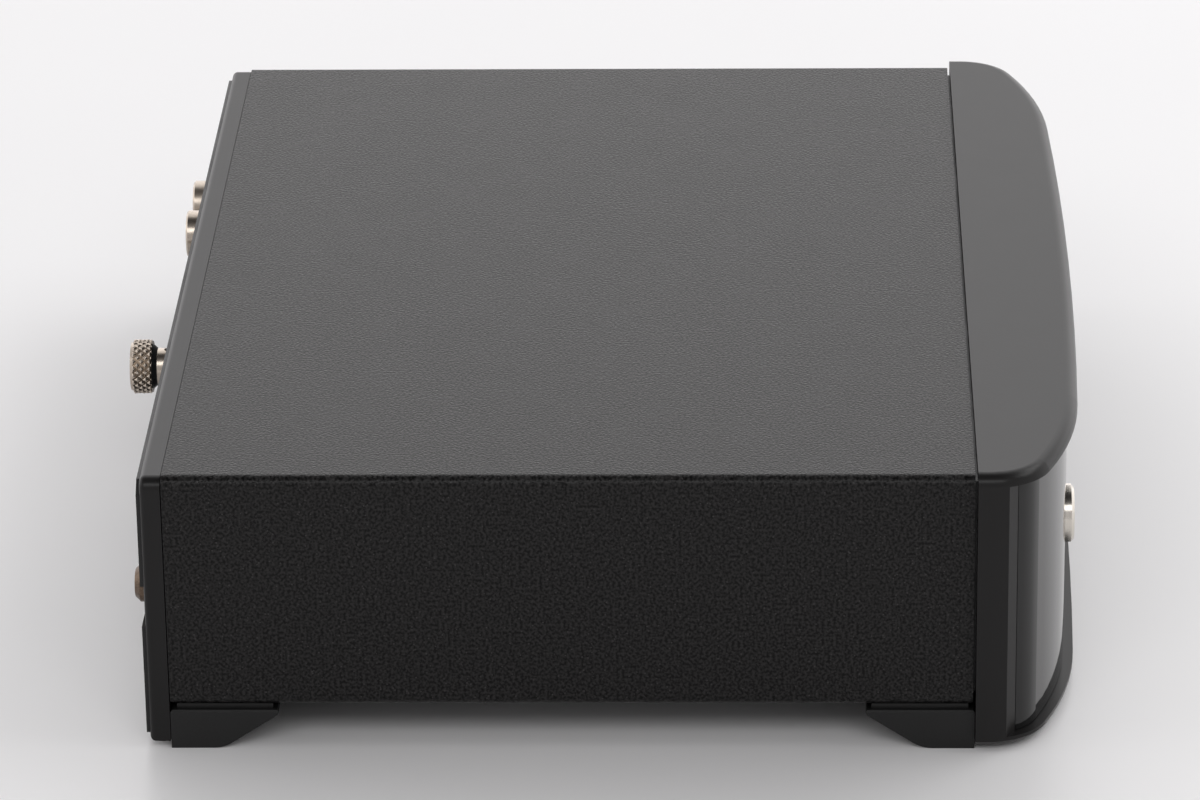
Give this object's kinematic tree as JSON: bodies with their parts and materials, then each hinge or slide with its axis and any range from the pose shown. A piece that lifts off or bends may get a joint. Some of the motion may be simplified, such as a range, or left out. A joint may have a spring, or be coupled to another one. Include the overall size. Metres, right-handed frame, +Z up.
{
  "type": "phono preamp",
  "caption": "Low box phono preamp: folded steel case, bowed gloss front with a push button, rear phono sockets and a ground post with a thumb nut.",
  "frame": {"origin": "under the middle of the whole object, at the height of the feet's rest faces", "axes": "+X to the right seen from the front, the front faces -Y, +Z up"},
  "size_m": [0.183, 0.158, 0.0472],
  "materials": {
    "cover_paint": "fine textured powder coat",
    "moulding_paint": "smooth satin moulding",
    "gloss_black": "polished gloss",
    "nickel": "turned, satin nickel",
    "bright_button": "turned with a bright bevel",
    "white_plastic": "plain",
    "black_plastic": "plain moulded",
    "clear_lens": "clear",
    "lamp_red": "tinted lamp body",
    "spring_steel": "drawn wire",
    "plate_black": "fine satin",
    "foot_rubber": "firm moulded rubber",
    "dark_screw": "dark nickel",
    "board_green": "solder mask",
    "can_black": "sleeved can",
    "film_yellow": "potted box",
    "gold": "plated"
  },
  "bodies": {
    "case": {"top_cover": "cover_paint", "base_tray": "plate_black", "front_moulding": "moulding_paint", "fascia": "gloss_black", "button_spring": "spring_steel", "power_switch": "black_plastic", "control_board": "board_green", "control_spacers": "nickel", "indicator_lens": "clear_lens", "indicator_lamp": "lamp_red", "rear_bezel": "moulding_paint", "rear_plate": "plate_black", "foot_front_left": "foot_rubber", "foot_front_right": "foot_rubber", "foot_rear_left": "foot_rubber", "foot_rear_right": "foot_rubber", "rear_screws": "nickel", "main_board": "board_green", "reservoir_capacitors": "can_black", "film_capacitors": "film_yellow", "amplifier_chips": "black_plastic", "voltage_regulators": "black_plastic", "muting_relay": "white_plastic", "lead_headers": "white_plastic", "board_lead": "white_plastic", "socket_block": "black_plastic", "socket_barrels": "nickel", "socket_contacts": "gold", "power_inlet": "black_plastic", "inlet_pin": "nickel", "ground_post": "nickel", "ground_lock_nut": "nickel", "board_clips": "white_plastic"},
    "button": {"power_button": "bright_button", "button_plunger": "white_plastic"},
    "clamp": {"clamp_washer": "dark_screw"},
    "nut": {"thumb_nut": "nickel"}
  },
  "joints": [
    {"name": "button_press", "type": "slide", "parent": "case", "child": "button", "axis": [0, 1, 0], "range_m": [0, 0.002], "stiffness_N_per_m": 600, "deforming": ["button_spring"]},
    {"name": "clamp_slide", "type": "slide", "parent": "case", "child": "clamp", "axis": [0, 1, 0], "range_m": [0, 0.0021]},
    {"name": "nut_turn", "type": "hinge", "parent": "clamp", "child": "nut", "pos_m": [0.0055, 0.07662, 0.024], "axis": [0, 1, 0], "range_deg": [0, 1080]}
  ],
  "couplings": [
    {"joint": "nut_turn", "follows": "clamp_slide", "rad_per_m": 8975.9}
  ]
}
